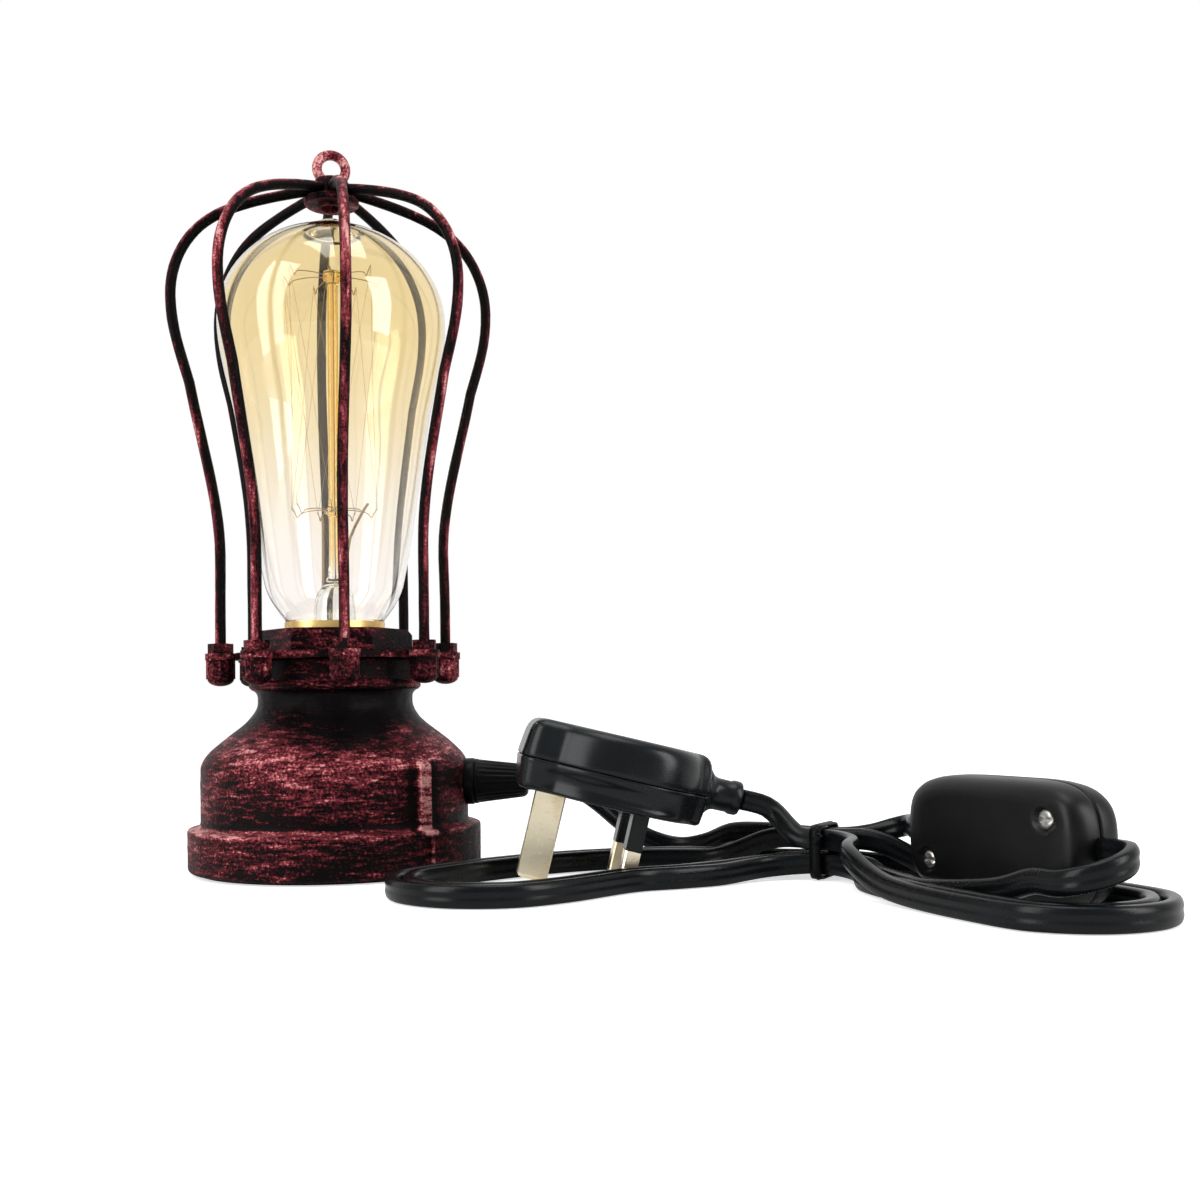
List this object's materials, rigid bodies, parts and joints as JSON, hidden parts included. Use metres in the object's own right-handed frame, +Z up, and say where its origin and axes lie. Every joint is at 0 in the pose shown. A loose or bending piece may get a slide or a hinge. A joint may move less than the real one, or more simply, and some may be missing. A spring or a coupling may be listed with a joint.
{
  "type": "table lamp",
  "caption": "Table lamp with a cast pipe reducer as its base, a bent wire cage round a large squirrel-cage bulb, and a flat cord with switch and plug tied in a hank.",
  "frame": {"origin": "centre of the lamp's foot on the surface it stands on, below the bulb's axis", "axes": "+Z up along the bulb, +X out of the cord gland, -Y the lamp's front"},
  "size_m": [0.237, 0.1738, 0.2047],
  "materials": {
    "rubbed_red": "black coat with a brushed and rubbed dark red top coat, satin",
    "steel": "zinc plated",
    "brass": "polished",
    "amber_glass": "clear with an amber coating that fades towards the cap",
    "clear_glass": "clear",
    "solder": "dull solder",
    "dark_wire": "dull drawn wire",
    "holder_insulator": "glazed",
    "black_insulator": "black glass-like",
    "black_plastic": "black moulded, low sheen",
    "black_pvc": "black flexible sheath, smooth sheen",
    "core_brown": "brown sheath",
    "core_blue": "blue sheath",
    "soft_pad": "matt",
    "fuse_white": "white ceramic tube"
  },
  "bodies": {
    "lamp": {"reducer_body": "rubbed_red", "base_plate": "steel", "base_pad": "soft_pad", "base_screws": "steel", "flange_plate": "rubbed_red", "hex_bush": "rubbed_red", "rod_nuts": "rubbed_red", "cap_nuts": "rubbed_red", "cage_hub": "rubbed_red", "eye_ring": "rubbed_red", "holder_body": "holder_insulator", "holder_lock_ring": "brass", "screw_shell": "brass", "centre_contact": "brass", "terminal_blocks": "brass", "terminal_screws": "steel", "gland_body": "black_plastic", "gland_cap": "black_plastic", "gland_nut": "black_plastic", "cord_tail": "black_pvc", "live_core": "core_brown", "neutral_core": "core_blue", "cord_lead": "black_pvc", "cord_hank": "black_pvc", "cord_tie": "black_plastic", "switch_base": "black_plastic", "switch_cover": "black_plastic", "rocker_pin": "steel", "switch_screws": "steel", "switch_contacts": "brass", "plug_body": "black_plastic", "plug_cover": "black_plastic", "plug_relief": "black_plastic", "pin_earth": "brass", "pin_live": "brass", "pin_neutral": "brass", "pin_sleeves": "black_plastic", "fuse_clips": "brass", "cage_rod_1": "rubbed_red", "cage_rod_2": "rubbed_red", "cage_rod_3": "rubbed_red", "cage_rod_4": "rubbed_red", "cage_rod_5": "rubbed_red", "cage_rod_6": "rubbed_red", "cage_rod_7": "rubbed_red", "cage_rod_8": "rubbed_red"},
    "bulb_button": {"bulb_tip": "solder"},
    "bulb": {"bulb_glass": "amber_glass", "bulb_cap": "brass", "bulb_insulator": "black_insulator", "bulb_stem": "clear_glass", "bulb_hooks": "dark_wire", "bulb_leads": "dark_wire", "bulb_filament": "dark_wire"},
    "rocker": {"switch_rocker": "black_plastic"},
    "fuse_holder": {"fuse_carrier": "black_plastic", "fuse": "fuse_white"}
  },
  "joints": [
    {"name": "bulb_rise", "type": "slide", "parent": "lamp", "child": "bulb_button", "axis": [0, 0, 1], "range_m": [0, 0.00272]},
    {"name": "bulb_unscrew", "type": "hinge", "parent": "bulb_button", "child": "bulb", "pos_m": [0, 0, 0.0423], "axis": [0, 0, 1], "range_deg": [0, 270]},
    {"name": "switch_rock", "type": "hinge", "parent": "lamp", "child": "rocker", "pos_m": [0.17003, -0.08144, 0.014], "axis": [0, 0, 1], "range_deg": [-14, 0]},
    {"name": "fuse_carrier_slide", "type": "slide", "parent": "lamp", "child": "fuse_holder", "axis": [-0.2394, -0.0252, -0.9706], "range_m": [0, 0.01]}
  ],
  "couplings": [
    {"joint": "bulb_rise", "follows": "bulb_unscrew", "m_per_rad": 0.00057614}
  ]
}
